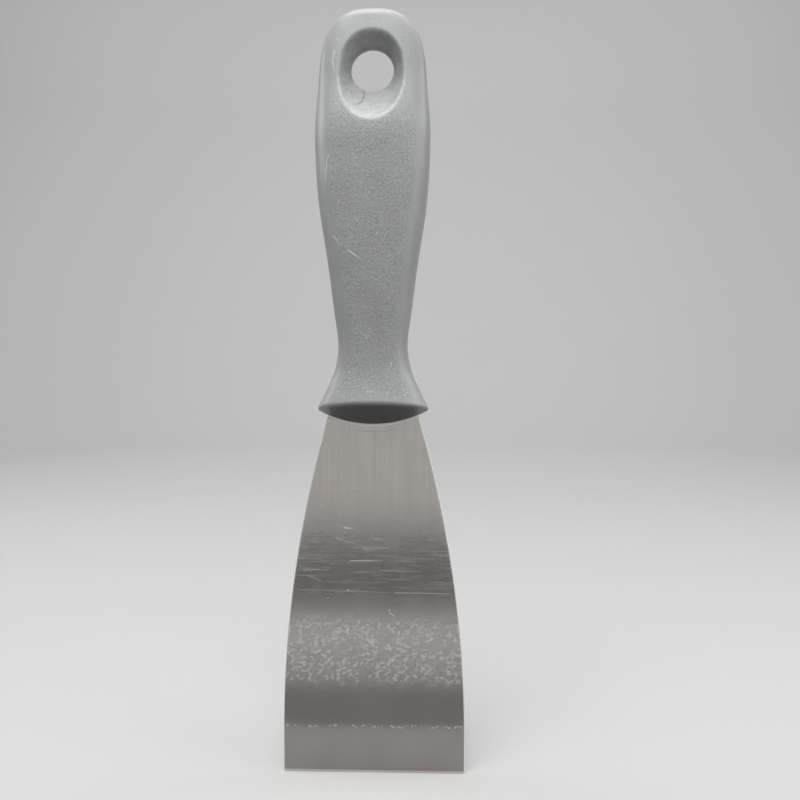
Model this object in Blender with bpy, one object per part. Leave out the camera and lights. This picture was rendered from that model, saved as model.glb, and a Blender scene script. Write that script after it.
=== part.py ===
"""A flexible putty knife: a ground spring-steel blade whose hidden tang is held in a grey moulded handle.

Both pieces are drawn in heights above the blade's straight tip, in metres. The knife hangs upright, with its
front face towards -Y. The world origin is the centre of the hanging hole.
"""

import math

import bmesh
import bpy
from mathutils import Matrix

GAP = 0.0003  # clearance between the tang and the plastic around it

# Blade
TIP_HALF_WIDTH = 0.025
PARALLEL_HEIGHT = 0.010  # the sides are parallel up to here, then curve inwards
SIDE_RADIUS = 0.316
TIP_THICKNESS = 0.0005
STOCK_THICKNESS = 0.0007
GRIND_TOP = 0.0940  # the taper ground into both faces ends here, just below the handle
SHOULDER_HEIGHT = 0.1000
TANG_SHOULDER_TOP = 0.1090
TANG_HALF_WIDTH = 0.0062
TANG_TOP = 0.1640
LOCK_HOLE_RADIUS = 0.0024
LOCK_HOLE_HEIGHTS = (0.118, 0.134, 0.150)
SIDE_STEPS = 20
TANG_END_STEPS = 10

# Handle: height, half width, half thickness and squareness, from the bolster's lip to the top end.
# A squareness of 2 makes the section an ellipse, and more makes it squarer.
HANDLE_STATIONS = (
    (0.1008, 0.01510, 0.0088, 2.6),
    (0.1060, 0.01245, 0.0078, 2.9),
    (0.1113, 0.01032, 0.0072, 3.0),
    (0.1175, 0.00950, 0.0072, 3.0),
    (0.1270, 0.01065, 0.0079, 2.9),
    (0.1410, 0.01250, 0.0090, 2.7),
    (0.1560, 0.01475, 0.0098, 2.5),
    (0.1660, 0.01550, 0.0100, 2.4),
    (0.1760, 0.01574, 0.0096, 2.3),
    (0.1900, 0.01468, 0.0061, 2.3),
    (0.20845, 0.01380, 0.0029, 2.5),
)
WIDTH_ROUNDING = (0.190, 2.7)  # height where the top end starts to narrow, and its squareness
THICKNESS_ROUNDING = (0.2056, 2.2)
SECTION_STEPS = 44

# Bolster: its lip arches up between the corners, and a bevel runs from the lip down to a curved keel
LIP_ARCH = 0.0011
LIP_ARCH_TOP = 0.114
LIP_EDGE = 0.0007
KEEL_HEIGHT = 0.0954
KEEL_RADIUS = 0.030

# Hanging hole: a short cylindrical land, with a dish on each face that opens out further along the handle
# than across it
HOLE_HEIGHT = 0.1919
HOLE_RADIUS = 0.0058
LAND_HALF_LENGTH = 0.0008
DISH_SLOPE_ACROSS = 1.50
DISH_SLOPE_ALONG = 0.88
DISH_DEPTH = 0.0110
HOLE_STEPS = 72
DISH_STEPS = 5

# The blade bends as one link turning about this height, 15 % of its free length below the handle
FLEX_HEIGHT = 0.85 * KEEL_HEIGHT

PLASTIC_GREY = (0.27, 0.28, 0.27, 1.0)
STEEL_GREY = (0.60, 0.58, 0.56, 1.0)


def clear_scene():
    for item in list(bpy.data.objects):
        bpy.data.objects.remove(item)


def principled(name, colour, roughness, metallic):
    material = bpy.data.materials.new(name)
    material.use_nodes = True
    shader = material.node_tree.nodes["Principled BSDF"]
    shader.inputs["Base Color"].default_value = colour
    shader.inputs["Roughness"].default_value = roughness
    shader.inputs["Metallic"].default_value = metallic
    return material


def add_empty(name, height, parent=None):
    empty = bpy.data.objects.new(name, None)
    bpy.context.scene.collection.objects.link(empty)
    empty.parent = parent
    empty.location.z = height
    return empty


def add_object(name, bm, parent):
    """A mesh object drawn in heights above the tip, with its faces turned outwards."""
    bmesh.ops.recalc_face_normals(bm, faces=bm.faces)
    mesh = bpy.data.meshes.new(name)
    bm.to_mesh(mesh)
    bm.free()
    made = bpy.data.objects.new(name, mesh)
    bpy.context.scene.collection.objects.link(made)
    made.parent = parent
    return made


def cut(target, cutter):
    cutter.hide_render = True
    cutter.display_type = "WIRE"
    boolean = target.modifiers.new(cutter.name, "BOOLEAN")
    boolean.operation = "DIFFERENCE"
    boolean.solver = "EXACT"
    boolean.object = cutter


# ---------------------------------------------------------------- blade


def blade_half_width(height):
    """Half the width of the blade where its sides are on show."""
    rise = max(0.0, height - PARALLEL_HEIGHT)
    return TIP_HALF_WIDTH - (SIDE_RADIUS - math.sqrt(SIDE_RADIUS**2 - rise**2))


def right_side(bottom, grow):
    """Outline points (x, height) up the right side of blade and tang, from bottom, moved outwards by grow."""
    points = []
    if bottom < PARALLEL_HEIGHT:
        points.append((TIP_HALF_WIDTH + grow, bottom))
    start = max(bottom, PARALLEL_HEIGHT)
    for step in range(SIDE_STEPS + 1):
        height = start + (GRIND_TOP - start) * step / SIDE_STEPS
        points.append((blade_half_width(height) + grow, height))
    points.append((blade_half_width(SHOULDER_HEIGHT) + grow, SHOULDER_HEIGHT + grow))
    points.append((TANG_HALF_WIDTH + grow, TANG_SHOULDER_TOP + grow))
    end_radius = TANG_HALF_WIDTH + grow
    end_centre = TANG_TOP - TANG_HALF_WIDTH
    for step in range(TANG_END_STEPS + 1):
        angle = math.pi / 2 * step / TANG_END_STEPS
        points.append((end_radius * math.cos(angle), end_centre + end_radius * math.sin(angle)))
    return points


def plate(bottom, grow):
    """A flat blank of the blade's outline in the plane Y = 0, made of strips between its two sides."""
    bm = bmesh.new()
    right = right_side(bottom, grow)
    top = bm.verts.new((0, 0, right[-1][1]))
    rows = [(bm.verts.new((-x, 0, z)), bm.verts.new((x, 0, z))) for x, z in right[:-1]]
    for lower, upper in zip(rows, rows[1:]):
        bm.faces.new((lower[0], lower[1], upper[1], upper[0]))
    bm.faces.new((rows[-1][0], rows[-1][1], top))
    return bm


def thicken(bm, half_thickness_at):
    """Pulls a flat blank out to both sides of Y = 0, by half_thickness_at(height) each way."""
    pulled = bmesh.ops.extrude_face_region(bm, geom=list(bm.faces))["geom"]
    front = {item for item in pulled if isinstance(item, bmesh.types.BMVert)}
    for vertex in bm.verts:
        side = -1 if vertex in front else 1
        vertex.co.y = side * half_thickness_at(vertex.co.z)


def blade_half_thickness(height):
    share = min(1.0, height / GRIND_TOP)
    return (TIP_THICKNESS + (STOCK_THICKNESS - TIP_THICKNESS) * share) / 2


def slot_half_thickness(_height):
    return STOCK_THICKNESS / 2 + GAP


def lock_plugs(name, radius, half_length, parent):
    """The cylinders that cross the tang: drills for its lock holes, or the plastic pins left inside them."""
    bm = bmesh.new()
    for height in LOCK_HOLE_HEIGHTS:
        made = bmesh.ops.create_cone(
            bm, cap_ends=True, segments=24, radius1=radius, radius2=radius, depth=2 * half_length
        )
        for vertex in made["verts"]:
            x, y, z = vertex.co
            vertex.co = (x, z, y + height)
    return add_object(name, bm, parent)


def build_blade(datum):
    bm = plate(0.0, 0.0)
    thicken(bm, blade_half_thickness)
    blade = add_object("blade", bm, datum)
    blade.data.materials.append(principled("blade_steel", STEEL_GREY, 0.32, 1.0))
    blade.data.transform(Matrix.Translation((0, 0, -FLEX_HEIGHT)))
    blade.location.z = FLEX_HEIGHT
    cut(blade, lock_plugs("lock_hole_drills", LOCK_HOLE_RADIUS, STOCK_THICKNESS, datum))
    return blade


# ---------------------------------------------------------------- handle


def station_slope(index, column):
    """Slope of the profile at a station, from its neighbours."""
    before = HANDLE_STATIONS[max(index - 1, 0)]
    after = HANDLE_STATIONS[min(index + 1, len(HANDLE_STATIONS) - 1)]
    return (after[column] - before[column]) / (after[0] - before[0])


def along_stations(height, column):
    """A smooth cubic curve through one column of the handle's stations."""
    last = len(HANDLE_STATIONS) - 2
    index = next((i for i in range(last) if height <= HANDLE_STATIONS[i + 1][0]), last)
    low, high = HANDLE_STATIONS[index], HANDLE_STATIONS[index + 1]
    span = high[0] - low[0]
    t = (height - low[0]) / span
    start = (2 * t**3 - 3 * t**2 + 1) * low[column]
    start += (t**3 - 2 * t**2 + t) * span * station_slope(index, column)
    end = (3 * t**2 - 2 * t**3) * high[column]
    end += (t**3 - t**2) * span * station_slope(index + 1, column)
    return start + end


def rounding(height, start, power):
    """Share of the full size that is left where the top end rounds off above start."""
    reach = (height - start) / (HANDLE_STATIONS[-1][0] - start)
    return (1 - min(1.0, max(0.0, reach)) ** power) ** (1 / power)


def handle_half_width(height):
    return along_stations(height, 1) * rounding(height, *WIDTH_ROUNDING)


def handle_half_thickness(height):
    return along_stations(height, 2) * rounding(height, *THICKNESS_ROUNDING)


def signed_power(value, power):
    return math.copysign(abs(value) ** power, value)


def section(height):
    """The handle's outline at a height: a superellipse whose middle rises near the lip."""
    half_width = handle_half_width(height)
    half_thickness = handle_half_thickness(height)
    power = 2 / along_stations(height, 3)
    fade = min(1.0, max(0.0, (LIP_ARCH_TOP - height) / (LIP_ARCH_TOP - HANDLE_STATIONS[0][0])))
    points = []
    for step in range(SECTION_STEPS):
        angle = 2 * math.pi * step / SECTION_STEPS
        across = signed_power(math.cos(angle), power)
        out = signed_power(math.sin(angle), power)
        arch = LIP_ARCH * fade**2 * (1 - across**2)
        points.append((half_width * across, half_thickness * out, height + arch))
    return points


def keel_height(x):
    """Height of the handle's lowest edge, which curves down in the middle."""
    return KEEL_HEIGHT + KEEL_RADIUS - math.sqrt(KEEL_RADIUS**2 - x**2)


def bevel_point(lip_point, share):
    """A point on the bolster's bevel: share 1 is at the lip and 0 on the keel."""
    x, y, z = lip_point
    low = keel_height(x)
    return (x, y * share, low + (z - low) * share)


def section_heights():
    """Heights of the handle's sections, closer together at the flare and where the top end rounds off."""
    lip, top = HANDLE_STATIONS[0][0], HANDLE_STATIONS[-1][0]
    flare = [lip + LIP_EDGE + (LIP_ARCH_TOP - lip) * step / 9 for step in range(9)]
    grip_start, grip_end, grip_steps = LIP_ARCH_TOP + LIP_EDGE, WIDTH_ROUNDING[0], 17
    grip = [grip_start + (grip_end - grip_start) * step / grip_steps for step in range(grip_steps)]
    end_steps = 14
    end = [grip_end + (top - grip_end) * math.sin(math.pi / 2 * s / end_steps) for s in range(end_steps)]
    return flare + grip + end


def join_rings(bm, rings):
    """Bands of faces that join each ring of vertices to the next."""
    for lower, upper in zip(rings, rings[1:]):
        for i in range(len(lower)):
            j = (i + 1) % len(lower)
            bm.faces.new((lower[i], lower[j], upper[j], upper[i]))


def handle_body(datum):
    bm = bmesh.new()
    lip_height, _, lip_half_thickness, _ = HANDLE_STATIONS[0]
    lip_points = section(lip_height)
    lip_share = 1 - LIP_EDGE / lip_half_thickness
    rings = [[bm.verts.new(bevel_point(point, lip_share)) for point in lip_points]]
    rings += [[bm.verts.new(point) for point in section(height)] for height in section_heights()]
    join_rings(bm, rings)
    top = bm.verts.new((0, 0, HANDLE_STATIONS[-1][0]))
    for i in range(SECTION_STEPS):
        bm.faces.new((rings[-1][i], rings[-1][(i + 1) % SECTION_STEPS], top))
    half = SECTION_STEPS // 2
    keel = [bm.verts.new(bevel_point(point, 0)) for point in lip_points[: half + 1]]
    for i in range(half):
        bm.faces.new((rings[0][i], rings[0][i + 1], keel[i + 1], keel[i]))
        mirrored, mirrored_next = (-i) % SECTION_STEPS, (-i - 1) % SECTION_STEPS
        bm.faces.new((rings[0][mirrored_next], rings[0][mirrored], keel[i], keel[i + 1]))
    return add_object("handle", bm, datum)


def tang_slot(datum):
    """The space that the tang fills, left open at the bolster, with the lock pins standing in it."""
    bm = plate(KEEL_HEIGHT / 2, GAP)
    thicken(bm, slot_half_thickness)
    slot = add_object("tang_slot_core", bm, datum)
    cut(slot, lock_plugs("lock_pins", LOCK_HOLE_RADIUS - GAP, 2 * STOCK_THICKNESS, datum))
    return slot


def hole_ring(bm, y):
    """Points round the hanging hole at y: a circle on the land, and an oval where the dish has opened out."""
    depth = max(0.0, abs(y) - LAND_HALF_LENGTH)
    ring = []
    for step in range(HOLE_STEPS):
        angle = 2 * math.pi * step / HOLE_STEPS
        across, along = math.cos(angle), math.sin(angle)
        radius = HOLE_RADIUS + depth * (across**2 / DISH_SLOPE_ACROSS + along**2 / DISH_SLOPE_ALONG)
        ring.append(bm.verts.new((radius * across, y, HOLE_HEIGHT + radius * along)))
    return ring


def hanging_hole(datum):
    """A core that leaves the hole through the handle and the dish on each face."""
    bm = bmesh.new()
    reach = DISH_DEPTH - LAND_HALF_LENGTH
    front = [-DISH_DEPTH + reach * step / DISH_STEPS for step in range(DISH_STEPS + 1)]
    back = [-y for y in reversed(front)]
    rings = [hole_ring(bm, y) for y in front + back]
    join_rings(bm, rings)
    bm.faces.new(rings[0])
    bm.faces.new(rings[-1])
    bmesh.ops.triangulate(bm, faces=bm.faces)
    return add_object("hanging_hole_core", bm, datum)


def build_handle(datum):
    handle = handle_body(datum)
    handle.data.materials.append(principled("handle_plastic", PLASTIC_GREY, 0.45, 0.0))
    cut(handle, tang_slot(datum))
    cut(handle, hanging_hole(datum))
    return handle


clear_scene()
knife = add_empty("knife_datum", -HOLE_HEIGHT)
build_blade(knife)
build_handle(knife)
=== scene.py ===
"""The looks of the flexible putty knife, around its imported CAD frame.

Both pieces are modelled again as fine meshes on the CAD's own shape. Shapes are drawn in heights above the
blade's tip, in metres, and moved onto the frame by the tip's place in it. The front face is towards -Y.
"""

import math

import bmesh
import bpy
import numpy as np
from mathutils import Euler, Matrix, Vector


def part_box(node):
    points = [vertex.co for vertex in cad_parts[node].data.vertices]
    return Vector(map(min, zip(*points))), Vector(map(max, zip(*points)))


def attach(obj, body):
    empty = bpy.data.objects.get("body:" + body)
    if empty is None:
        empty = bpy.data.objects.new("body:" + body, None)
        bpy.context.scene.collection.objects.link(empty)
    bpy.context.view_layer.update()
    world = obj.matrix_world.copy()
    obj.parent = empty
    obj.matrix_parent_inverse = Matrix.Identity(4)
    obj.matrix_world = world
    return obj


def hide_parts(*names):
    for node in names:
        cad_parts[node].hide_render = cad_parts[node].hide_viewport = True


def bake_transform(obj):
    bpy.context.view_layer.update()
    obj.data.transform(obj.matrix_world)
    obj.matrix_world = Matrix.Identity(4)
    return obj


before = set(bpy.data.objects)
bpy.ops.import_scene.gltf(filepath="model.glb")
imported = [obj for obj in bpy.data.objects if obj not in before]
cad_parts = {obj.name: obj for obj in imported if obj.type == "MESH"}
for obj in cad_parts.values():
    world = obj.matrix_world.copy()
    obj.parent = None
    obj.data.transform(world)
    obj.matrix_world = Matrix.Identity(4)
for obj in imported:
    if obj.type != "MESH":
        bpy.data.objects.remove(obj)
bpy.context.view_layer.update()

MM = 0.001
TIP_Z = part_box("blade")[0].z
TOP_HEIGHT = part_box("handle")[1].z - TIP_Z
KEEL_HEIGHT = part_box("handle")[0].z - TIP_Z
TANG_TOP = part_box("blade")[1].z - TIP_Z
TIP_HALF_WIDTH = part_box("blade")[1].x
HANDLE_HALF_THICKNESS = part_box("handle")[1].y
HOLE_HEIGHT = -TIP_Z  # the frame's origin is the hanging hole's centre

# Blade
PARALLEL_HEIGHT = 10 * MM
SIDE_RADIUS = 316 * MM
TIP_THICKNESS = 0.5 * MM
STOCK_THICKNESS = 0.7 * MM
GRIND_TOP = 94 * MM
SHOULDER_HEIGHT = 100 * MM
TANG_SHOULDER_TOP = 109 * MM
TANG_HALF_WIDTH = 6.2 * MM
LOCK_HOLE_RADIUS = 2.4 * MM
LOCK_HOLE_HEIGHTS = (118 * MM, 134 * MM, 150 * MM)
# distance in from the blade's edge, and how far the polished edge has taken the face down there
EDGE_PROFILE = ((0, 0.10 * MM), (0.05 * MM, 0.07 * MM), (0.34 * MM, 0.012 * MM), (0.5 * MM, 0))
TIP_PROFILE = ((0, 0.08 * MM), (0.06 * MM, 0.045 * MM), (0.2 * MM, 0))

# Handle: height, half width, half thickness and squareness, from the bolster's lip to the top end.
# A squareness of 2 makes the section an ellipse, and more makes it squarer.
HANDLE_STATIONS = (
    (100.8 * MM, 15.10 * MM, 8.8 * MM, 2.6),
    (106.0 * MM, 12.45 * MM, 7.8 * MM, 2.9),
    (111.3 * MM, 10.32 * MM, 7.2 * MM, 3.0),
    (117.5 * MM, 9.50 * MM, 7.2 * MM, 3.0),
    (127.0 * MM, 10.65 * MM, 7.9 * MM, 2.9),
    (141.0 * MM, 12.50 * MM, 9.0 * MM, 2.7),
    (156.0 * MM, 14.75 * MM, 9.8 * MM, 2.5),
    (166.0 * MM, 15.50 * MM, 10.0 * MM, 2.4),
    (176.0 * MM, 15.74 * MM, 9.6 * MM, 2.3),
    (190.0 * MM, 14.68 * MM, 6.1 * MM, 2.3),
    (TOP_HEIGHT, 13.80 * MM, 2.9 * MM, 2.5),
)
LIP_HEIGHT = HANDLE_STATIONS[0][0]
WIDTH_ROUNDING = (190 * MM, 2.7)
THICKNESS_ROUNDING = (205.6 * MM, 2.2)
LIP_ARCH = 1.1 * MM
LIP_ARCH_TOP = 114 * MM
LIP_EDGE = 0.9 * MM
KEEL_RADIUS = 30 * MM
PARTING_HEIGHT = 0.12 * MM
PARTING_STEPS = (0, 0.06 * MM, 0.14 * MM, 0.3 * MM)
HOLE_RADIUS = 5.8 * MM
LAND_HALF_LENGTH = 0.8 * MM
DISH_SLOPE_ACROSS = 1.50
DISH_SLOPE_ALONG = 0.88
DISH_BLEND = 0.7 * MM  # how far the dish's rim is rounded
DISH_BOTTOM = 174 * MM
DISH_TOP = 204 * MM
DISH_REACH = 18 * MM  # nothing of the dish lies further than this from the hole's centre
HOLE_EDGE = 0.3 * MM
SLOT_START = 92 * MM  # a little below the handle, so that the tang's slot is open there
SLOT_FIT = 0.02 * MM

# The handle's smooth side bands, beside the grained panel: width at the lip and at the grip
BAND_WIDTHS = (2.3 * MM, 3.2 * MM)
BAND_GRIP_HEIGHT = 150 * MM
BAND_EDGE = 1.6 * MM

# Camera, as the photograph was taken: place from the blade's tip, turn, and lens on a 36 mm sensor
CAMERA_PLACE = (14.8 * MM, -209.0 * MM, 106.5 * MM)
CAMERA_TURN = (88.95, 0.07, 2.05)
CAMERA_LENS = 34.46

# Zones of the blade's finish, in mm above the tip
WORKED_ZONE = (48.0, 68.0)
SPOTTED_ZONE = (24.0, 43.0)
TIDE_ZONE = (12.4, 13.2)
GRAIN_FADE = (58.0, 86.0)

# Colours
PLASTIC_DARK = (0.211, 0.218, 0.212, 1)
PLASTIC_LIGHT = (0.359, 0.368, 0.360, 1)
# Darker plastic for the bolster's bevel: painted shade on its downward-facing face
PLASTIC_BEVEL_PAINTED_SHADE = (0.120, 0.122, 0.118, 1)
PLASTIC_FLOW_MARK = (0.130, 0.132, 0.128, 1)
# Light grey for scratches and specks, and for a painted highlight along the dish's rim
PLASTIC_WEAR_AND_HIGHLIGHT = (0.62, 0.65, 0.64, 1)
STEEL_DARK = (0.50, 0.465, 0.44, 1)
STEEL_LIGHT = (0.68, 0.645, 0.62, 1)
# Light colour for the steel's scratches, rubbing and water spots, and for painted highlights on it
STEEL_MARKS_AND_HIGHLIGHT = (0.90, 0.88, 0.86, 1)
STEEL_RUB_ARC = (0.33, 0.30, 0.29, 1)
FLOOR_PAINT = (0.42, 0.42, 0.415)
DAYLIGHT = (0.96, 0.98, 1.0, 1)
DAYLIGHT_STRENGTH = 0.75

# Area lights: name, place, width, height, power in watts, and aim, or None for the middle of the knife
AREA_LIGHTS = (
    ("overhead", (0.0, -0.02, 0.62), 0.60, 0.25, 2.6, None),
    ("rim_left", (-0.76, 0.12, 0.34), 0.35, 0.30, 1.5, None),
    ("rim_right", (0.76, 0.12, 0.34), 0.35, 0.30, 1.1, None),
    ("key", (-0.10, -0.36, 0.70), 0.60, 0.35, 5.0, None),
    ("fill", (0.75, -0.30, 0.18), 0.50, 0.45, 1.6, None),
    ("front_wash", (0, -1.35, 0.9), 1.8, 0.9, 13.0, (0, -1.35, TIP_Z)),
    ("back_wash", (0, 0.9, 1.1), 1.4, 0.4, 14.0, (0, 2.0, 0.1)),
)

# The dark card that shades the bolster's bevel: near and far ends in front of the blade, half width, shade
SHADE_CARD = (15 * MM, 420 * MM, 300 * MM, 0.04)

# Dark cards that the blade reflects: near and far ends in front of the blade, and shade
REFLECTED_BANDS = (
    (0.5 * MM, 27 * MM, 0.20),
    (27 * MM, 62 * MM, 0.10),
    (62 * MM, 95 * MM, 0.20),
    (95 * MM, 150 * MM, 0.28),
    (150 * MM, 360 * MM, 0.03),
)


# ---------------------------------------------------------------- mesh helpers


def grid_faces(rows, columns, offset=0, wrap=False):
    """Quads of a grid of points stored row by row. With wrap, the last column joins the first."""
    faces = []
    for row in range(rows - 1):
        for column in range(columns if wrap else columns - 1):
            beside = (column + 1) % columns
            low, high = offset + row * columns, offset + (row + 1) * columns
            faces.append((low + column, low + beside, high + beside, high + column))
    return faces


def mesh_object(name, points, faces):
    """A closed mesh object, with doubled points merged and its faces turned outwards."""
    mesh = bpy.data.meshes.new(name)
    mesh.from_pydata([tuple(point) for point in points], [], faces)
    bm = bmesh.new()
    bm.from_mesh(mesh)
    bmesh.ops.remove_doubles(bm, verts=bm.verts, dist=0.002 * MM)
    bmesh.ops.dissolve_degenerate(bm, edges=bm.edges, dist=0.001 * MM)
    bmesh.ops.recalc_face_normals(bm, faces=bm.faces)
    bm.to_mesh(mesh)
    bm.free()
    made = bpy.data.objects.new(name, mesh)
    bpy.context.scene.collection.objects.link(made)
    return made


def subtract(target, cutters):
    """Cuts each cutter from target, keeps the result as target's mesh, and removes the cutters."""
    for cutter in cutters:
        boolean = target.modifiers.new(cutter.name, "BOOLEAN")
        boolean.operation = "DIFFERENCE"
        boolean.object = cutter
    bpy.context.view_layer.update()
    evaluated = target.evaluated_get(bpy.context.evaluated_depsgraph_get())
    result = bpy.data.meshes.new_from_object(evaluated)
    target.modifiers.clear()
    target.data = result
    for cutter in cutters:
        bpy.data.objects.remove(cutter)


def shade_smooth(obj, sharp_degrees):
    obj.data.shade_smooth()
    obj.data.set_sharp_from_angle(angle=math.radians(sharp_degrees))


def vertex_array(obj):
    points = np.empty(len(obj.data.vertices) * 3)
    obj.data.vertices.foreach_get("co", points)
    return points.reshape(-1, 3)


def set_attribute(obj, name, values):
    attribute = obj.data.attributes.new(name, "FLOAT", "POINT")
    attribute.data.foreach_set("value", np.asarray(values, np.float32))


def add_rest_places(obj):
    """Keeps where each point is at rest, in mm across, out and above the tip, for the materials to read."""
    places = (vertex_array(obj) - (0, 0, TIP_Z)) / MM
    attribute = obj.data.attributes.new("rest_mm", "FLOAT_VECTOR", "POINT")
    attribute.data.foreach_set("vector", places.astype(np.float32).ravel())


def smoothstep(low, high, value):
    share = np.clip((value - low) / (high - low), 0, 1)
    return share * share * (3 - 2 * share)


def turned(name, profile, steps, centre):
    """A solid turned about a line along Y through centre, from (radius, y) points that end on the line."""
    points = []
    for radius, y in profile:
        for step in range(steps):
            angle = 2 * math.pi * step / steps
            points.append((centre[0] + radius * math.cos(angle), y, centre[1] + radius * math.sin(angle)))
    return mesh_object(name, points, grid_faces(len(profile), steps, wrap=True))


# ---------------------------------------------------------------- blade shape


def blade_half_width(height):
    """Half width of blade and tang at heights up to the start of the tang's round end."""
    rise = np.maximum(0, np.minimum(height, SHOULDER_HEIGHT) - PARALLEL_HEIGHT)
    exposed = TIP_HALF_WIDTH - (SIDE_RADIUS - np.sqrt(SIDE_RADIUS**2 - rise**2))
    shoulder = np.clip((height - SHOULDER_HEIGHT) / (TANG_SHOULDER_TOP - SHOULDER_HEIGHT), 0, 1)
    end_rise = np.clip(height - (TANG_TOP - TANG_HALF_WIDTH), 0, TANG_HALF_WIDTH)
    tang = np.sqrt(TANG_HALF_WIDTH**2 - end_rise**2)
    return np.where(height > TANG_SHOULDER_TOP, tang, exposed + (TANG_HALF_WIDTH - exposed) * shoulder)


def blade_half_thickness(height):
    return (TIP_THICKNESS + (STOCK_THICKNESS - TIP_THICKNESS) * np.minimum(1, height / GRIND_TOP)) / 2


def blade_heights():
    """Heights of the blade's rows of points, 1 mm apart where it is on show."""
    almost_top = 0.97
    tip = [height for height, _ in TIP_PROFILE]
    exposed = np.linspace(1 * MM, SHOULDER_HEIGHT, 100)
    shoulder = np.linspace(SHOULDER_HEIGHT, TANG_SHOULDER_TOP, 7)[1:]
    shank = np.linspace(TANG_SHOULDER_TOP, TANG_TOP - TANG_HALF_WIDTH, 12)[1:]
    end = TANG_TOP - TANG_HALF_WIDTH * (1 - np.sin(np.linspace(0, almost_top, 10) * math.pi / 2))[1:]
    return np.concatenate([tip, exposed, shoulder, shank, end])


def blade_solid(name, heights, grow, edge_profile, tip_profile, half_thickness):
    """A plate on the blade's outline, with its long edges and its tip taken down to the given profiles."""
    inner_columns = 26
    insets = np.array([inset for inset, _ in edge_profile])
    drops = np.array([drop for _, drop in edge_profile])
    half_widths = blade_half_width(heights) + grow
    thicknesses = half_thickness(heights) + grow
    tip_drop = np.interp(heights, *zip(*tip_profile)) if tip_profile else 0 * heights
    inner = np.linspace(-1, 1, inner_columns + 2)[1:-1]
    front = []
    for height, half_width, thickness, drop in zip(heights, half_widths, thicknesses, tip_drop):
        inset = np.minimum(insets, 0.3 * half_width)
        left_edge = -half_width + inset
        x = np.concatenate([left_edge, inner * (half_width - inset[-1]), -left_edge[::-1]])
        down = np.concatenate([drops, np.zeros(inner_columns), drops[::-1]])
        y = thickness - np.maximum(down, drop)
        front.append(np.column_stack([x, -y, np.full(len(x), height)]))
    front = np.array(front)
    rows, columns, _ = front.shape
    back = front * (1, -1, 1)
    count = rows * columns
    faces = grid_faces(rows, columns)
    faces += [tuple(corner + count for corner in reversed(face)) for face in grid_faces(rows, columns)]
    rim = [(0, column) for column in range(columns)]
    rim += [(row, columns - 1) for row in range(1, rows)]
    rim += [(rows - 1, column) for column in range(columns - 2, -1, -1)]
    rim += [(row, 0) for row in range(rows - 2, 0, -1)]
    around = [row * columns + column for row, column in rim]
    for start, end in zip(around, around[1:] + around[:1]):
        faces.append((end, start, start + count, end + count))
    points = np.concatenate([front.reshape(-1, 3), back.reshape(-1, 3)]) + (0, 0, TIP_Z)
    return mesh_object(name, points, faces)


def lock_plugs(radius):
    """Cylinders through the tang's lock holes, longer than the blade is thick."""
    reach = STOCK_THICKNESS
    profile = [(0, -reach), (radius, -reach), (radius, reach), (0, reach)]
    return [turned("lock_plug", profile, 32, (0, TIP_Z + height)) for height in LOCK_HOLE_HEIGHTS]


def add_grain_direction(blade):
    """A UV map whose U runs across the blade, square to its ground grain."""
    points = vertex_array(blade)
    corners = np.empty(len(blade.data.loops), np.int32)
    blade.data.loops.foreach_get("vertex_index", corners)
    across = points[corners][:, [0, 2]] / (2 * TIP_HALF_WIDTH)
    blade.data.uv_layers.new(name="across").data.foreach_set("uv", across.astype(np.float32).ravel())


def make_blade():
    blade = blade_solid("steel_blade", blade_heights(), 0, EDGE_PROFILE, TIP_PROFILE, blade_half_thickness)
    subtract(blade, lock_plugs(LOCK_HOLE_RADIUS))
    points = vertex_array(blade)
    height = points[:, 2] - TIP_Z
    inset = blade_half_width(np.minimum(height, TANG_TOP - 0.1 * MM)) - np.abs(points[:, 0])
    on_show = height < KEEL_HEIGHT + 5 * MM
    # Painted highlight: this mask makes the steel lighter and less metallic along its long edges
    set_attribute(blade, "edge", (1 - smoothstep(0.05 * MM, 0.42 * MM, inset)) * on_show)
    add_rest_places(blade)
    add_grain_direction(blade)
    shade_smooth(blade, 25)
    return blade


# ---------------------------------------------------------------- handle shape


def station_curve(heights, column):
    """A smooth cubic curve through one column of the handle's stations."""
    knots, values = np.array(HANDLE_STATIONS)[:, 0], np.array(HANDLE_STATIONS)[:, column]
    slopes = np.gradient(values, knots, edge_order=1)
    slopes[1:-1] = (values[2:] - values[:-2]) / (knots[2:] - knots[:-2])
    index = np.clip(np.searchsorted(knots, heights) - 1, 0, len(knots) - 2)
    span = knots[index + 1] - knots[index]
    t = (heights - knots[index]) / span
    curve = (2 * t**3 - 3 * t**2 + 1) * values[index] + (3 * t**2 - 2 * t**3) * values[index + 1]
    curve += (t**3 - 2 * t**2 + t) * span * slopes[index] + (t**3 - t**2) * span * slopes[index + 1]
    return curve


def rounding(heights, start, power):
    reach = np.clip((heights - start) / (TOP_HEIGHT - start), 0, 1)
    return (1 - reach**power) ** (1 / power)


def handle_half_width(heights):
    return (station_curve(heights, 1) - PARTING_HEIGHT) * rounding(heights, *WIDTH_ROUNDING)


def handle_half_thickness(heights):
    curve = np.minimum(station_curve(heights, 2), HANDLE_HALF_THICKNESS)
    return curve * rounding(heights, *THICKNESS_ROUNDING)


def squareness(heights):
    """Exponent of the superellipse that is the handle's section: 2 is an ellipse, and more is squarer."""
    return station_curve(heights, 3)


def arch(heights, across):
    """How far the middle of a section rises near the lip. across is 0 in the middle and 1 at the side."""
    fade = np.clip((LIP_ARCH_TOP - heights) / (LIP_ARCH_TOP - LIP_HEIGHT), 0, 1)
    return LIP_ARCH * fade**2 * (1 - np.minimum(1, across**2))


def keel_height(x):
    return KEEL_HEIGHT + KEEL_RADIUS - np.sqrt(KEEL_RADIUS**2 - x**2)


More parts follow.
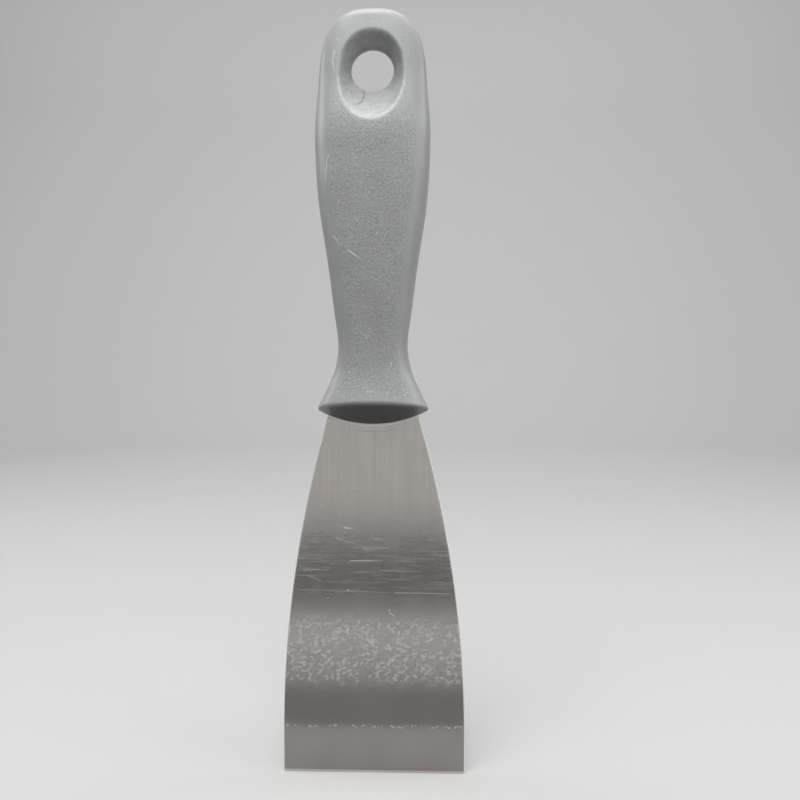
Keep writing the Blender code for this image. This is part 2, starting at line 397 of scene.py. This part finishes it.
def quarter_section(half_width, half_thickness, power, steps):
    """Points of a quarter of the section, from the side to the front's middle, even along its length."""
    angle = np.linspace(0, math.pi / 2, 600)
    x = half_width * np.cos(angle) ** (2 / power)
    y = half_thickness * np.sin(angle) ** (2 / power)
    x[-1] = 0
    length = np.concatenate([[0], np.cumsum(np.hypot(np.diff(x), np.diff(y)))])
    fixed = np.minimum(PARTING_STEPS, length[-1] * np.linspace(0, 0.2, len(PARTING_STEPS)))
    even = np.linspace(fixed[-1], length[-1], steps - len(fixed) + 2)[1:]
    places = np.concatenate([fixed, even])
    return np.interp(places, length, x), np.interp(places, length, y)


def full_ring(x, y):
    """A whole section from its quarter: right side, front, left side, back."""
    ring_x = np.concatenate([x[:-1], -x[:0:-1], -x[:-1], x[:0:-1]])
    ring_y = np.concatenate([-y[:-1], -y[:0:-1], y[:-1], y[:0:-1]])
    return ring_x, ring_y


def smooth_min(a, b, reach):
    share = np.clip(0.5 + 0.5 * (b - a) / reach, 0, 1)
    return b + (a - b) * share - reach * share * (1 - share)


def dish_surface(x, rise):
    """Distance of the dish's surface from the mid-plane, at a point given from the hole's centre."""
    radius = np.maximum(np.hypot(x, rise), MM)
    opening = (x**2 / DISH_SLOPE_ACROSS + rise**2 / DISH_SLOPE_ALONG) / radius**2
    return LAND_HALF_LENGTH + (radius - HOLE_RADIUS) / opening


def dished(x, y, z):
    """y with the dish round the hanging hole pressed into both faces."""
    surface = np.maximum(dish_surface(x, z - HOLE_HEIGHT), 0.4 * LAND_HALF_LENGTH)
    return np.sign(y) * np.maximum(0, smooth_min(np.abs(y), surface, DISH_BLEND))


def parting_rise(heights):
    """Height of the mould's parting line along the handle's sides, which comes and goes."""
    wander = 0.55 + 0.25 * np.sin(heights / (7.3 * MM)) + 0.2 * np.sin(heights / (2.9 * MM) + 1.0)
    above_lip = smoothstep(LIP_HEIGHT, LIP_HEIGHT + 6 * MM, heights)
    below_top = 1 - smoothstep(200 * MM, 207 * MM, heights)
    return PARTING_HEIGHT * wander * above_lip * below_top


def handle_heights():
    """Heights of the handle's rings of points, closest together at the flare, the dish and the top end."""
    almost_top = 0.985
    flare = np.linspace(LIP_HEIGHT + LIP_EDGE, LIP_ARCH_TOP, 36)
    grip = np.linspace(LIP_ARCH_TOP, DISH_BOTTOM, 84)[1:]
    dish = np.linspace(DISH_BOTTOM, DISH_TOP, 92)[1:]
    end = DISH_TOP + (TOP_HEIGHT - DISH_TOP) * np.sin(np.linspace(0, almost_top, 26) * math.pi / 2)[1:]
    return np.concatenate([flare, grip, dish, end])


def handle_rings():
    """Rings of points up the handle, from its keel over the bevel and the rounded lip to the top end."""
    quarter_steps = 60
    rings = []
    for height in handle_heights():
        half_width, half_thickness = handle_half_width(height), handle_half_thickness(height)
        x, y = quarter_section(half_width, half_thickness, squareness(height), quarter_steps)
        rise = parting_rise(height) * np.interp(np.arange(len(x)), [0, 1, 2], [1, 0.6, 0])
        ring_x, ring_y = full_ring(x + rise, y)
        ring_z = height + arch(height, ring_x / max(half_width, MM))
        rings.append(np.column_stack([ring_x, dished(ring_x, ring_y, ring_z), ring_z]))
    lip_size = (handle_half_width(LIP_HEIGHT), handle_half_thickness(LIP_HEIGHT))
    x, y = quarter_section(*lip_size, squareness(LIP_HEIGHT), quarter_steps)
    lip_x, lip_y = full_ring(x, y)
    lip = np.column_stack([lip_x, lip_y, LIP_HEIGHT + arch(LIP_HEIGHT, lip_x / lip_size[0])])
    keel = np.column_stack([lip_x, 0 * lip_y, keel_height(lip_x)])
    bevel_start = LIP_EDGE / lip_size[1]
    edge_end = lip + (keel - lip) * bevel_start
    turns = np.linspace(0, 1, 8)[:-1]
    edge = [(1 - t) ** 2 * edge_end + 2 * t * (1 - t) * lip + t**2 * rings[0] for t in turns]
    bevel = [keel + (edge_end - keel) * share for share in np.linspace(0, 1, 14)[:-1]]
    return np.array(bevel + edge + rings)


def hole_cutter():
    """The hanging hole, flared a little at both mouths so that its edges are rounded."""
    deep = 12 * MM
    flare_start = LAND_HALF_LENGTH - HOLE_EDGE
    mouth = [flare_start + step * HOLE_EDGE / 4 for step in range(1, 9)]
    flared = [(HOLE_RADIUS + (y - flare_start) ** 2 / (4 * HOLE_EDGE), y) for y in mouth]
    upper = [(HOLE_RADIUS, flare_start)] + flared + [(flared[-1][0], deep), (0, deep)]
    profile = [(radius, -y) for radius, y in reversed(upper)] + upper
    return turned("hole_cutter", profile, 160, (0, 0))


def slot_cutter():
    """The space that the tang fills, with the plastic lock pins left standing in it."""
    heights = np.concatenate([np.linspace(SLOT_START, SHOULDER_HEIGHT, 9), blade_heights()])
    heights = np.unique(heights[heights >= SLOT_START])
    core = blade_solid("slot_cutter", heights, SLOT_FIT, ((0, 0),), None, blade_half_thickness)
    subtract(core, lock_plugs(LOCK_HOLE_RADIUS - SLOT_FIT))
    return core


def handle_masks(handle):
    """Vertex masks for the handle's finish and painted light: the grained panel, the dish, the dish's rim
    (for a painted highlight) and the bevel (for painted shade).
    """
    points = vertex_array(handle)
    x, y, height = points[:, 0], np.abs(points[:, 1]), points[:, 2] - TIP_Z
    inside = np.clip(height, LIP_HEIGHT, TOP_HEIGHT - 0.1 * MM)
    half_width, power = handle_half_width(inside), squareness(inside)
    across = np.minimum(1, np.abs(x) / half_width)
    body = handle_half_thickness(inside) * (1 - across**power) ** (1 / power)
    near_hole = np.hypot(x, height - HOLE_HEIGHT) < DISH_REACH
    cut_away = body - dish_surface(x, height - HOLE_HEIGHT)
    dish = near_hole * smoothstep(-0.30 * MM, 0.05 * MM, cut_away)
    rim = near_hole * (1 - smoothstep(0.1 * MM, 0.5 * MM, np.abs(cut_away)))
    lip_line = LIP_HEIGHT + arch(LIP_HEIGHT, x / handle_half_width(LIP_HEIGHT))
    bevel = 1 - smoothstep(-0.9 * MM, 0.1 * MM, height - lip_line)
    lip_band, grip_band = BAND_WIDTHS
    band = lip_band + (grip_band - lip_band) * smoothstep(LIP_HEIGHT, BAND_GRIP_HEIGHT, height)
    panel = smoothstep(band, band + BAND_EDGE, half_width - np.abs(x)) * (1 - dish) * (1 - bevel)
    panel *= smoothstep(0.6 * MM, 2.4 * MM, height - lip_line)
    panel *= 1 - 0.8 * smoothstep(178 * MM, 190 * MM, height)
    set_attribute(handle, "panel", panel)
    set_attribute(handle, "dish", dish)
    set_attribute(handle, "dish_rim", rim)
    set_attribute(handle, "bevel", bevel)


def make_handle():
    rings = handle_rings() + (0, 0, TIP_Z)
    rows, columns, _ = rings.shape
    pole = np.array([[0, 0, TIP_Z + TOP_HEIGHT]])
    points = np.concatenate([rings.reshape(-1, 3), pole])
    faces = grid_faces(rows, columns, wrap=True)
    last = (rows - 1) * columns
    faces += [(last + i, last + (i + 1) % columns, len(points) - 1) for i in range(columns)]
    handle = mesh_object("moulded_handle", points, faces)
    subtract(handle, [slot_cutter(), hole_cutter()])
    handle_masks(handle)
    add_rest_places(handle)
    shade_smooth(handle, 32)
    return handle


# ---------------------------------------------------------------- material helpers


def new_material(name):
    material = bpy.data.materials.new(name)
    material.use_nodes = True
    return material, material.node_tree, material.node_tree.nodes["Principled BSDF"]


def plain_material(name, colour, roughness):
    material, _, shader = new_material(name)
    shader.inputs["Base Color"].default_value = (*colour, 1)
    shader.inputs["Roughness"].default_value = roughness
    return material


def add_node(tree, kind, **settings):
    made = tree.nodes.new("ShaderNode" + kind)
    for name, value in settings.items():
        setattr(made, name, value)
    return made


def feed(tree, socket, value):
    """Links a node's output to a socket, or sets the socket to a plain value."""
    if isinstance(value, bpy.types.NodeSocket):
        tree.links.new(value, socket)
    else:
        socket.default_value = value


def maths(tree, operation, first, second=0.0):
    made = add_node(tree, "Math", operation=operation)
    feed(tree, made.inputs[0], first)
    feed(tree, made.inputs[1], second)
    return made.outputs[0]


def vector_maths(tree, operation, first, second):
    made = add_node(tree, "VectorMath", operation=operation)
    feed(tree, made.inputs[0], first)
    feed(tree, made.inputs[1], second)
    return made


def fade(tree, value, low, high, start=0.0, end=1.0):
    """Goes smoothly from start to end as value goes from low to high."""
    made = add_node(tree, "MapRange", interpolation_type="SMOOTHSTEP")
    for socket, number in zip(made.inputs, (value, low, high, start, end)):
        feed(tree, socket, number)
    return made.outputs[0]


def between(tree, value, low, high, soft):
    """1 where value lies between low and high, with soft edges."""
    rising = fade(tree, value, low - soft, low + soft)
    falling = fade(tree, value, high - soft, high + soft, 1.0, 0.0)
    return maths(tree, "MULTIPLY", rising, falling)


def mix_colour(tree, share, low, high):
    made = add_node(tree, "Mix", data_type="RGBA")
    feed(tree, made.inputs[0], share)
    feed(tree, made.inputs[6], low)
    feed(tree, made.inputs[7], high)
    return made.outputs[2]


def total(tree, *terms):
    result = terms[0]
    for term in terms[1:]:
        result = maths(tree, "ADD", result, term)
    return result


def product(tree, *factors):
    result = factors[0]
    for factor in factors[1:]:
        result = maths(tree, "MULTIPLY", result, factor)
    return result


def mask(tree, name):
    return add_node(tree, "Attribute", attribute_name=name).outputs["Fac"]


def rest_place(tree):
    return add_node(tree, "Attribute", attribute_name="rest_mm").outputs["Vector"]


def noise(tree, place, grain, detail=2.0, offset=0.0):
    """Noise from 0 to 1 whose grains are about the given sizes in mm: across, out and along."""
    scaled = vector_maths(tree, "DIVIDE", place, grain).outputs[0]
    moved = vector_maths(tree, "ADD", scaled, (offset, offset, offset)).outputs[0]
    made = add_node(tree, "TexNoise")
    feed(tree, made.inputs["Vector"], moved)
    made.inputs["Scale"].default_value = 1
    made.inputs["Detail"].default_value = detail
    return made.outputs["Fac"]


def scratch_group():
    """A node group that is 1 on a straight scratch between two places (mm) and 0 away from it."""
    tree = bpy.data.node_groups.new("scratch", "ShaderNodeTree")
    for name, kind in (("Place", "Vector"), ("Start", "Vector"), ("End", "Vector"), ("Width", "Float")):
        tree.interface.new_socket(name, in_out="INPUT", socket_type="NodeSocket" + kind)
    tree.interface.new_socket("Mask", in_out="OUTPUT", socket_type="NodeSocketFloat")
    given = tree.nodes.new("NodeGroupInput").outputs
    run = vector_maths(tree, "SUBTRACT", given["End"], given["Start"]).outputs[0]
    gone = vector_maths(tree, "SUBTRACT", given["Place"], given["Start"]).outputs[0]
    gone_along = vector_maths(tree, "DOT_PRODUCT", gone, run).outputs["Value"]
    length_squared = vector_maths(tree, "DOT_PRODUCT", run, run).outputs["Value"]
    share = add_node(tree, "Math", operation="DIVIDE", use_clamp=True)
    feed(tree, share.inputs[0], gone_along)
    feed(tree, share.inputs[1], length_squared)
    nearest = add_node(tree, "VectorMath", operation="SCALE")
    feed(tree, nearest.inputs[0], run)
    feed(tree, nearest.inputs["Scale"], share.outputs[0])
    away = vector_maths(tree, "DISTANCE", gone, nearest.outputs[0]).outputs["Value"]
    taper = fade(tree, share.outputs[0], 0.5, 1.0, 1.0, 0.35)
    reach = maths(tree, "DIVIDE", away, maths(tree, "MULTIPLY", given["Width"], taper))
    feed(tree, tree.nodes.new("NodeGroupOutput").inputs["Mask"], fade(tree, reach, 0.3, 1.0, 1.0, 0.0))
    return tree


def scratches(tree, group, place, marks):
    """1 on any of the marks, on the front face only."""
    flat = vector_maths(tree, "MULTIPLY", place, (1, 0, 1)).outputs[0]
    result = 0.0
    for start, end, width, strength in marks:
        made = tree.nodes.new("ShaderNodeGroup")
        made.node_tree = group
        feed(tree, made.inputs["Place"], flat)
        made.inputs["Start"].default_value = (start[0], 0, start[1])
        made.inputs["End"].default_value = (end[0], 0, end[1])
        made.inputs["Width"].default_value = width
        result = maths(tree, "MAXIMUM", result, maths(tree, "MULTIPLY", made.outputs[0], strength))
    out = add_node(tree, "SeparateXYZ")
    feed(tree, out.inputs[0], place)
    return maths(tree, "MULTIPLY", result, fade(tree, out.outputs[1], -0.05, 0.05, 1.0, 0.0))


def bump(tree, height, distance, strength=1.0, under=None):
    """A bump of the given height (0 to 1) times distance in metres, over an earlier bump."""
    made = add_node(tree, "Bump")
    feed(tree, made.inputs["Height"], height)
    feed(tree, made.inputs["Strength"], strength)
    made.inputs["Distance"].default_value = distance
    if under:
        feed(tree, made.inputs["Normal"], under)
    return made.outputs[0]


# ---------------------------------------------------------------- materials


# Marks on the front faces, in mm: start and end (x, height above the tip), half width, and strength up to 1
HANDLE_SCRATCHES = (
    ((-11.6, 165.6), (-12.2, 160.0), 0.22, 0.8),
    ((-11.1, 167.3), (-11.6, 165.6), 0.18, 0.6),
    ((-10.0, 146.3), (-7.9, 143.6), 0.26, 0.6),
    ((-6.0, 142.3), (-2.4, 139.6), 0.24, 0.9),
    ((8.6, 187.0), (9.3, 185.3), 0.20, 0.7),
    ((-9.9, 196.2), (-10.4, 193.4), 0.28, 0.6),
    ((-10.4, 193.4), (-9.8, 190.0), 0.30, 0.4),
    ((-9.10, 199.4), (-8.95, 199.2), 0.26, 1.0),
    ((-0.9, 105.2), (0.6, 105.3), 0.30, 0.4),
)
FLOW_MARK = (
    ((-2.4, 186.2), (-2.2, 184.4), 0.28, 1.0),
    ((-2.2, 184.4), (-2.5, 182.2), 0.28, 1.0),
    ((-2.5, 182.2), (-3.6, 180.8), 0.28, 1.0),
    ((-3.6, 180.8), (-4.8, 180.6), 0.24, 0.7),
    ((-3.9, 183.6), (-3.2, 181.8), 0.30, 0.6),
    ((-5.6, 184.6), (-4.4, 182.0), 0.35, 0.5),
)
BLADE_MARKS_AND_GLINT = (
    ((-6.5, 58.6), (2.6, 58.6), 0.10, 0.9),
    ((-14.5, 78.0), (1.1, 78.7), 0.07, 0.5),
    ((-14.7, 73.8), (-13.6, 74.0), 0.10, 0.7),
    ((-10.6, 68.4), (-3.8, 67.1), 0.08, 0.6),
    ((-8.0, 67.6), (-6.0, 67.4), 0.16, 0.9),
    ((-10.6, 64.9), (-3.8, 62.7), 0.09, 0.6),
    ((-0.2, 64.6), (2.8, 64.6), 0.09, 0.6),
    ((-3.0, 61.9), (6.2, 62.3), 0.07, 0.6),
    ((-19.6, 56.1), (-12.0, 56.0), 0.08, 0.6),
    ((1.6, 55.9), (13.0, 55.8), 0.07, 0.6),
    ((-18.0, 54.2), (-14.0, 52.9), 0.09, 0.5),
    ((-21.0, 50.5), (4.7, 49.9), 0.06, 0.5),
    ((5.7, 49.8), (21.0, 49.7), 0.08, 0.6),
    ((4.3, 45.4), (4.5, 44.2), 0.12, 0.8),
    ((4.5, 44.2), (5.8, 43.2), 0.12, 0.8),
    # A painted glint, drawn as a short bright mark like the scratches
    ((-7.4, 39.0), (-6.8, 40.2), 0.22, 0.9),
    ((-7.1, 50.4), (-6.9, 50.4), 0.28, 1.0),
    ((-12.6, 48.3), (-12.4, 48.3), 0.20, 0.8),
    ((-9.2, 71.2), (-9.1, 71.4), 0.18, 0.9),
    ((-8.8, 81.6), (-8.6, 81.8), 0.16, 0.7),
)


def make_plastic(group):
    """Moulded grey plastic: a fine spark-eroded grain on the grip, smoother bands, and a glossy dish."""
    material, tree, shader = new_material("handle_plastic")
    place = rest_place(tree)
    panel, dish, rim, bevel = (mask(tree, name) for name in ("panel", "dish", "dish_rim", "bevel"))
    grain = noise(tree, place, (0.42, 0.42, 0.42), 1.5)
    pebbles = noise(tree, place, (0.85, 0.85, 0.85), 1.0, 4.0)
    clouds = noise(tree, place, (7.0, 7.0, 9.0), 3.0, 9.0)
    blotches = noise(tree, place, (1.9, 1.9, 1.5), 2.0, 17.0)
    specks = noise(tree, place, (0.50, 0.50, 0.50), 0.0, 31.0)
    marks = scratches(tree, group, place, HANDLE_SCRATCHES)
    flow_mark = scratches(tree, group, place, FLOW_MARK)

    grain_shade = product(tree, maths(tree, "SUBTRACT", grain, 0.5), fade(tree, panel, 0.0, 1.0, 0.15, 1.7))
    cloud_shade = product(tree, maths(tree, "SUBTRACT", clouds, 0.5), 0.45)
    blotch_shade = product(tree, maths(tree, "SUBTRACT", blotches, 0.5), dish, 0.9)
    shade = total(tree, 0.5, grain_shade, cloud_shade, blotch_shade)
    colour = mix_colour(tree, shade, PLASTIC_DARK, PLASTIC_LIGHT)
    bright_specks = product(tree, fade(tree, specks, 0.79, 0.85), fade(tree, bevel, 0.0, 0.3, 0.55, 0.0))
    wear_and_highlight = maths(tree, "MAXIMUM", maths(tree, "MULTIPLY", marks, 0.75), bright_specks)
    # Painted highlight: the dish's rim made lighter in patches
    rim_highlight = product(tree, rim, fade(tree, blotches, 0.50, 0.66), 0.12)
    wear_and_highlight = maths(tree, "MAXIMUM", wear_and_highlight, rim_highlight)
    colour = mix_colour(tree, product(tree, flow_mark, 0.6), colour, PLASTIC_FLOW_MARK)
    worn_and_highlit = mix_colour(tree, wear_and_highlight, colour, PLASTIC_WEAR_AND_HIGHLIGHT)
    # The bevel gets the darker colour: painted shade on the bolster's underside
    feed(tree, shader.inputs["Base Color"], mix_colour(tree, bevel, worn_and_highlit, PLASTIC_BEVEL_PAINTED_SHADE))

    rough = total(tree, fade(tree, panel, 0.0, 1.0, 0.34, 0.50), product(tree, clouds, 0.08))
    rough = total(tree, rough, product(tree, dish, -0.07), product(tree, blotches, dish, 0.16))
    feed(tree, shader.inputs["Roughness"], rough)

    grain_depth = fade(tree, panel, 0.0, 1.0, 0.06, 1.0)
    surface = bump(tree, total(tree, grain, product(tree, pebbles, 0.6)), 0.075 * MM, grain_depth)
    surface = bump(tree, blotches, 0.10 * MM, fade(tree, dish, 0.0, 1.0, 0.12, 0.9), surface)
    surface = bump(tree, maths(tree, "SUBTRACT", flow_mark, marks), 0.09 * MM, 1.0, surface)
    feed(tree, shader.inputs["Normal"], surface)
    return material


def keel_line(tree, x, height, below, half_width):
    """1 along the curve that lies a little below where the handle's keel crosses the blade, in mm."""
    keel_radius, keel = KEEL_RADIUS / MM, KEEL_HEIGHT / MM
    across = maths(tree, "POWER", maths(tree, "ABSOLUTE", x), 2.0)
    drop = maths(tree, "SQRT", maths(tree, "SUBTRACT", keel_radius**2, across))
    curve = maths(tree, "SUBTRACT", keel + keel_radius - below, drop)
    return between(tree, maths(tree, "SUBTRACT", height, curve), -half_width, half_width, 0.06)


def make_steel(group):
    """Ground spring steel: lengthwise grain, cross scratches in the middle, and water spots lower down."""
    material, tree, shader = new_material("blade_steel")
    place = rest_place(tree)
    split = add_node(tree, "SeparateXYZ")
    feed(tree, split.inputs[0], place)
    x, height = split.outputs[0], split.outputs[2]

    grain = noise(tree, place, (0.36, 1.0, 12.0), 1.0)
    streaks = noise(tree, place, (1.3, 1.0, 45.0), 1.5, 5.0)
    clouds = noise(tree, place, (9.0, 9.0, 12.0), 3.0, 12.0)
    rubbing = noise(tree, place, (11.0, 1.0, 0.26), 1.0, 21.0)
    patches = noise(tree, place, (6.0, 6.0, 3.0), 2.0, 3.0)
    spots = noise(tree, place, (0.95, 1.0, 0.85), 0.0, 41.0)
    spot_patches = noise(tree, place, (4.0, 4.0, 2.6), 2.0, 55.0)

    upper = fade(tree, height, *GRAIN_FADE)
    worked = between(tree, height, *WORKED_ZONE, 4.0)
    spotted = between(tree, height, *SPOTTED_ZONE, 3.0)
    rubbed = product(tree, fade(tree, rubbing, 0.48, 0.74), fade(tree, patches, 0.22, 0.58), worked)
    spotting = product(tree, fade(tree, spots, 0.38, 0.74), fade(tree, spot_patches, 0.14, 0.58), spotted)
    tide_line = product(tree, between(tree, height, *TIDE_ZONE, 0.5), fade(tree, spots, 0.48, 0.70))
    marks = scratches(tree, group, place, BLADE_MARKS_AND_GLINT)
    rub_arc = product(tree, keel_line(tree, x, height, 1.8, 0.05), between(tree, x, -5.5, 6.5, 0.5))
    # Painted highlight: a thin light line on the steel just below the handle's keel
    joint_highlight = keel_line(tree, x, height, 0.25, 0.15)

    tone = total(tree, 0.5, product(tree, maths(tree, "SUBTRACT", clouds, 0.5), 0.7))
    tone = total(tree, tone, product(tree, maths(tree, "SUBTRACT", streaks, 0.5), 0.6, upper))
    tone = total(tree, tone, product(tree, maths(tree, "SUBTRACT", grain, 0.5), 0.5, upper))
    colour = mix_colour(tree, tone, STEEL_DARK, STEEL_LIGHT)
    bright = marks
    # The edge mask paints a highlight along the blade's long edges
    for wear_and_highlight, strength in ((rubbed, 0.24), (spotting, 0.45), (mask(tree, "edge"), 0.9), (tide_line, 0.5)):
        bright = maths(tree, "MAXIMUM", bright, product(tree, wear_and_highlight, strength))
    bright = maths(tree, "MAXIMUM", bright, joint_highlight)
    colour = mix_colour(tree, bright, colour, STEEL_MARKS_AND_HIGHLIGHT)
    feed(tree, shader.inputs["Base Color"], mix_colour(tree, rub_arc, colour, STEEL_RUB_ARC))
    feed(tree, shader.inputs["Metallic"], fade(tree, bright, 0.0, 1.0, 1.0, 0.25))

    rough = total(tree, fade(tree, height, 22.0, 70.0, 0.17, 0.25), product(tree, streaks, upper, 0.05))
    rough = total(tree, rough, product(tree, clouds, 0.05), product(tree, bright, 0.25))
    feed(tree, shader.inputs["Roughness"], rough)
    shader.inputs["Anisotropic"].default_value = 0.75
    tangent = add_node(tree, "Tangent", direction_type="UV_MAP", uv_map="across")
    feed(tree, shader.inputs["Tangent"], tangent.outputs[0])

    surface = bump(tree, grain, 0.0020 * MM, fade(tree, height, 50.0, 84.0, 0.2, 1.0))
    surface = bump(tree, rubbing, 0.0008 * MM, worked, surface)
    surface = bump(tree, marks, 0.005 * MM, 1.0, surface)
    feed(tree, shader.inputs["Normal"], surface)
    return material


# ---------------------------------------------------------------- stage


def make_camera():
    data = bpy.data.cameras.new("camera")
    data.lens = CAMERA_LENS
    data.sensor_width = 36
    data.clip_start = 10 * MM
    camera = bpy.data.objects.new("camera", data)
    camera.location = Vector(CAMERA_PLACE) + Vector((0, 0, TIP_Z))
    camera.rotation_euler = Euler([math.radians(angle) for angle in CAMERA_TURN])
    bpy.context.scene.collection.objects.link(camera)
    bpy.context.scene.camera = camera


def link_stage(name, points, faces, material):
    mesh = bpy.data.meshes.new(name)
    mesh.from_pydata(points, [], faces)
    mesh.shade_smooth()
    made = bpy.data.objects.new(name, mesh)
    bpy.context.scene.collection.objects.link(made)
    made.data.materials.append(material)
    return made


def make_floor():
    """A pale floor that sweeps up into a round backdrop."""
    flat, curve, wall, steps = 1.2, 0.9, 2.4, 96
    profile = [(0, 0), (0.4, 0), (flat, 0)]
    turn = np.linspace(0, math.pi / 2, 25)[1:]
    profile += [(flat + curve * math.sin(a), curve * (1 - math.cos(a))) for a in turn]
    profile.append((flat + curve, wall))
    points = []
    for radius, height in profile:
        angles = [2 * math.pi * step / steps for step in range(steps)]
        points += [(radius * math.cos(a), radius * math.sin(a), TIP_Z + height) for a in angles]
    faces = grid_faces(len(profile), steps, wrap=True)
    link_stage("floor", points, faces, plain_material("floor_paint", FLOOR_PAINT, 0.8))


def card_paper(name, shade):
    """Dark paper that light from below passes through, so that the floor under it stays lit."""
    material, tree, shader = new_material(name)
    shader.inputs["Base Color"].default_value = (shade, shade, shade, 1)
    shader.inputs["Roughness"].default_value = 0.9
    mixed = add_node(tree, "MixShader")
    feed(tree, mixed.inputs[0], add_node(tree, "NewGeometry").outputs["Backfacing"])
    feed(tree, mixed.inputs[1], shader.outputs[0])
    feed(tree, mixed.inputs[2], add_node(tree, "BsdfTransparent").outputs[0])
    feed(tree, tree.nodes["Material Output"].inputs["Surface"], mixed.outputs[0])
    return material


def make_card(name, near, far, half_width, shade, seen_by):
    """A card just over the floor in front of the knife, seen only by diffuse or only by glossy light."""
    corners = ((-half_width, -near), (half_width, -near), (half_width, -far), (-half_width, -far))
    points = [(x, y, TIP_Z + 0.5 * MM) for x, y in corners]
    card = link_stage(name, points, [(0, 3, 2, 1)], card_paper(name + "_paper", shade))
    card.visible_camera = False
    card.visible_shadow = False
    card.visible_transmission = False
    card.visible_diffuse = seen_by == "diffuse"
    card.visible_glossy = seen_by == "glossy"


def make_cards():
    """Dark cards that shade the bolster's bevel, and give the steel light and dark bands to reflect."""
    make_card("shade_card", *SHADE_CARD, "diffuse")
    for number, (near, far, shade) in enumerate(REFLECTED_BANDS):
        make_card(f"band_card_{number}", near, far, 2 * far, shade, "glossy")


def add_area_light(name, place, width, height, power, aim):
    data = bpy.data.lights.new(name, "AREA")
    data.shape = "RECTANGLE"
    data.size = width
    data.size_y = height
    data.energy = power
    light = bpy.data.objects.new(name, data)
    light.location = place
    towards = Vector(aim or (0, 0, TIP_Z + TOP_HEIGHT / 2)) - Vector(place)
    light.rotation_euler = towards.to_track_quat("-Z", "Y").to_euler()
    bpy.context.scene.collection.objects.link(light)


def make_lights():
    for light in AREA_LIGHTS:
        add_area_light(*light)
    world = bpy.data.worlds.new("studio")
    world.use_nodes = True
    background = world.node_tree.nodes["Background"]
    background.inputs["Color"].default_value = DAYLIGHT
    background.inputs["Strength"].default_value = DAYLIGHT_STRENGTH
    bpy.context.scene.world = world


make_camera()
make_floor()
make_cards()
make_lights()
bpy.context.scene.view_settings.view_transform = "Standard"

scratch = scratch_group()
handle = make_handle()
handle.data.materials.clear()
handle.data.materials.append(make_plastic(scratch))
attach(handle, "handle")
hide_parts("handle")

blade = make_blade()
blade.data.materials.clear()
blade.data.materials.append(make_steel(scratch))
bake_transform(blade)
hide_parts("blade")

bpy.context.view_layer.update()
